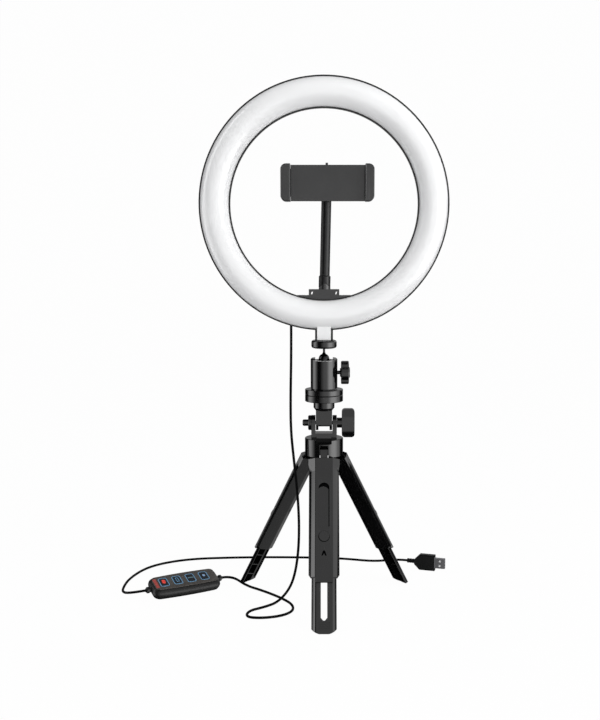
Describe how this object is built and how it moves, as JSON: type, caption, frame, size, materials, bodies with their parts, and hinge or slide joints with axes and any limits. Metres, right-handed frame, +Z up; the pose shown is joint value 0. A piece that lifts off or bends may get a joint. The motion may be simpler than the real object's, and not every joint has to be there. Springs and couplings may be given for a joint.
{
  "type": "ring light",
  "caption": "Ring light on a folding mini tripod, with a tilting ball head, gooseneck phone clamp and a USB cord with an inline remote.",
  "frame": {"origin": "under the tripod hub's axis, at the height of the surface that the feet stand on", "axes": "+Z up the tripod, -Y out of the lit side, +X to the right as seen from the lit side"},
  "size_m": [0.3719, 0.2467, 0.5533],
  "materials": {
    "black_nylon": "moulded satin black nylon",
    "grey_black_abs": "moulded satin black ABS",
    "gloss_black": "polished black",
    "diffuser_white": "opal white, semi-gloss",
    "steel": "turned steel",
    "chrome_steel": "nickel plated",
    "black_alloy": "black anodised",
    "circuit": "printed circuit board",
    "led_white": "phosphor-coated chips",
    "rubber_black": "soft black",
    "key_black": "silicone keypad",
    "red_window": "translucent red",
    "brass_insert": "turned"
  },
  "bodies": {
    "tripod": {"tripod_hub": "black_nylon", "yoke": "black_nylon", "hub_screw": "steel", "leg_hinge_pins": "steel", "tilt_bolt": "steel", "cord_hanging": "rubber_black", "cord_to_remote": "rubber_black", "cord_to_plug": "rubber_black", "remote_lower_shell": "grey_black_abs", "remote_top_shell": "grey_black_abs", "remote_window": "red_window", "remote_board": "circuit", "remote_reliefs": "rubber_black", "plug_overmould": "rubber_black", "plug_shell": "chrome_steel", "plug_tongue": "led_white"},
    "leg_front": {"leg_sleeve_front": "black_nylon"},
    "foot_front": {"leg_slide_front": "black_nylon"},
    "button_front": {"leg_button_front": "black_nylon"},
    "leg_right": {"leg_sleeve_right": "black_nylon"},
    "foot_right": {"leg_slide_right": "black_nylon"},
    "button_right": {"leg_button_right": "black_nylon"},
    "leg_left": {"leg_sleeve_left": "black_nylon"},
    "foot_left": {"leg_slide_left": "black_nylon"},
    "button_left": {"leg_button_left": "black_nylon"},
    "tilt_head": {"tilt_block": "black_alloy", "head_stud": "steel", "ball_head_base": "black_alloy", "ball_housing": "gloss_black", "clamp_pad": "black_nylon"},
    "tilt_grip": {"tilt_knob": "black_nylon", "tilt_knob_nut": "steel"},
    "ball_lock": {"ball_lock_knob": "black_nylon", "ball_lock_screw": "steel"},
    "cup": {"ball_cup": "black_nylon"},
    "stem": {"ball_stud": "chrome_steel"},
    "ring": {"ring_back_housing": "grey_black_abs", "ring_diffuser": "diffuser_white", "led_board": "circuit", "led_chips": "led_white", "housing_screws": "steel", "neck_insert": "brass_insert", "cord_outlet_boot": "rubber_black", "holder_bracket": "grey_black_abs", "bracket_screws": "steel"},
    "nut": {"lock_nut": "black_alloy"},
    "neck_foot": {"neck_socket": "grey_black_abs"},
    "neck": {"gooseneck": "rubber_black"},
    "swivel": {"clamp_swivel": "grey_black_abs", "clamp_pivot_pin": "steel"},
    "clamp": {"clamp_body": "grey_black_abs", "fixed_jaw_pad": "rubber_black"},
    "jaw": {"clamp_sliding_jaw": "grey_black_abs", "clamp_guide_rods": "chrome_steel", "sliding_jaw_pad": "rubber_black"},
    "key_power": {"remote_key_power": "key_black"},
    "key_colour": {"remote_key_colour": "key_black"},
    "key_brighter": {"remote_key_brighter": "key_black"},
    "key_dimmer": {"remote_key_dimmer": "key_black"}
  },
  "joints": [
    {"name": "leg_fold_front", "type": "hinge", "parent": "tripod", "child": "leg_front", "pos_m": [0, -0.013, 0.166], "axis": [1, 0, 0], "range_deg": [0, 28.5]},
    {"name": "leg_slide_front", "type": "slide", "parent": "leg_front", "child": "foot_front", "axis": [0, 0.4772, 0.8788], "range_m": [0, 0.039]},
    {"name": "leg_button_front", "type": "slide", "parent": "leg_front", "child": "button_front", "axis": [0, 0.8788, -0.4772], "range_m": [0, 0.0012], "stiffness_N_per_m": 900},
    {"name": "leg_fold_right", "type": "hinge", "parent": "tripod", "child": "leg_right", "pos_m": [0.01126, 0.0065, 0.166], "axis": [-0.5, 0.866, 0], "range_deg": [0, 28.5]},
    {"name": "leg_slide_right", "type": "slide", "parent": "leg_right", "child": "foot_right", "axis": [-0.4132, -0.2386, 0.8788], "range_m": [0, 0.039]},
    {"name": "leg_button_right", "type": "slide", "parent": "leg_right", "child": "button_right", "axis": [-0.7611, -0.4394, -0.4772], "range_m": [0, 0.0012], "stiffness_N_per_m": 900},
    {"name": "leg_fold_left", "type": "hinge", "parent": "tripod", "child": "leg_left", "pos_m": [-0.01126, 0.0065, 0.166], "axis": [-0.5, -0.866, 0], "range_deg": [0, 28.5]},
    {"name": "leg_slide_left", "type": "slide", "parent": "leg_left", "child": "foot_left", "axis": [0.4132, -0.2386, 0.8788], "range_m": [0, 0.039]},
    {"name": "leg_button_left", "type": "slide", "parent": "leg_left", "child": "button_left", "axis": [0.7611, -0.4394, -0.4772], "range_m": [0, 0.0012], "stiffness_N_per_m": 900},
    {"name": "tilt_hinge", "type": "hinge", "parent": "tripod", "child": "tilt_head", "pos_m": [0, 0, 0.1944], "axis": [1, 0, 0], "range_deg": [-45, 90], "deforming": ["cord_hanging"]},
    {"name": "tilt_knob_turn", "type": "hinge", "parent": "tripod", "child": "tilt_grip", "pos_m": [0.02, 0, 0.1944], "axis": [1, 0, 0], "continuous": true},
    {"name": "ball_lock_turn", "type": "hinge", "parent": "tilt_head", "child": "ball_lock", "pos_m": [0.012, 0, 0.2485], "axis": [1, 0, 0], "continuous": true},
    {"name": "ball_tilt", "type": "hinge", "parent": "tilt_head", "child": "cup", "pos_m": [0, 0, 0.2615], "axis": [1, 0, 0], "range_deg": [-35, 35], "deforming": ["cord_hanging"]},
    {"name": "ball_roll", "type": "hinge", "parent": "cup", "child": "stem", "pos_m": [0, 0, 0.2615], "axis": [0, 1, 0], "range_deg": [-35, 35], "deforming": ["cord_hanging"]},
    {"name": "ring_pan", "type": "hinge", "parent": "stem", "child": "ring", "pos_m": [0, 0, 0.2615], "axis": [0, 0, 1], "range_deg": [-170, 170], "deforming": ["cord_hanging"]},
    {"name": "lock_nut_turn", "type": "hinge", "parent": "stem", "child": "nut", "pos_m": [0, 0, 0.2788], "axis": [0, 0, 1], "continuous": true},
    {"name": "neck_swivel", "type": "hinge", "parent": "ring", "child": "neck_foot", "pos_m": [0.0006, 0.003, 0.3363], "axis": [0, 0, 1], "range_deg": [-170, 170]},
    {"name": "neck_bend", "type": "hinge", "parent": "neck_foot", "child": "neck", "pos_m": [0.0006, 0.003, 0.3444], "axis": [0.9998, 0, -0.0223], "range_deg": [-30, 30]},
    {"name": "clamp_tilt", "type": "hinge", "parent": "neck", "child": "swivel", "pos_m": [0.00284, 0.003, 0.4445], "axis": [-1, 0, 0], "range_deg": [-12, 20]},
    {"name": "clamp_turn", "type": "hinge", "parent": "swivel", "child": "clamp", "pos_m": [0.00284, -0.0085, 0.4445], "axis": [0, 1, 0], "range_deg": [0, 90]},
    {"name": "jaw_slide", "type": "slide", "parent": "clamp", "child": "jaw", "axis": [-1, 0, 0], "range_m": [0, 0.02], "stiffness_N_per_m": 120, "springref_m": -0.01},
    {"name": "press_power", "type": "slide", "parent": "tripod", "child": "key_power", "axis": [-0.1409, 0.2562, -0.9563], "range_m": [0, 0.0007], "stiffness_N_per_m": 700},
    {"name": "press_colour", "type": "slide", "parent": "tripod", "child": "key_colour", "axis": [-0.1409, 0.2562, -0.9563], "range_m": [0, 0.0007], "stiffness_N_per_m": 700},
    {"name": "press_brighter", "type": "slide", "parent": "tripod", "child": "key_brighter", "axis": [-0.1409, 0.2562, -0.9563], "range_m": [0, 0.0007], "stiffness_N_per_m": 700},
    {"name": "press_dimmer", "type": "slide", "parent": "tripod", "child": "key_dimmer", "axis": [-0.1409, 0.2562, -0.9563], "range_m": [0, 0.0007], "stiffness_N_per_m": 700}
  ]
}
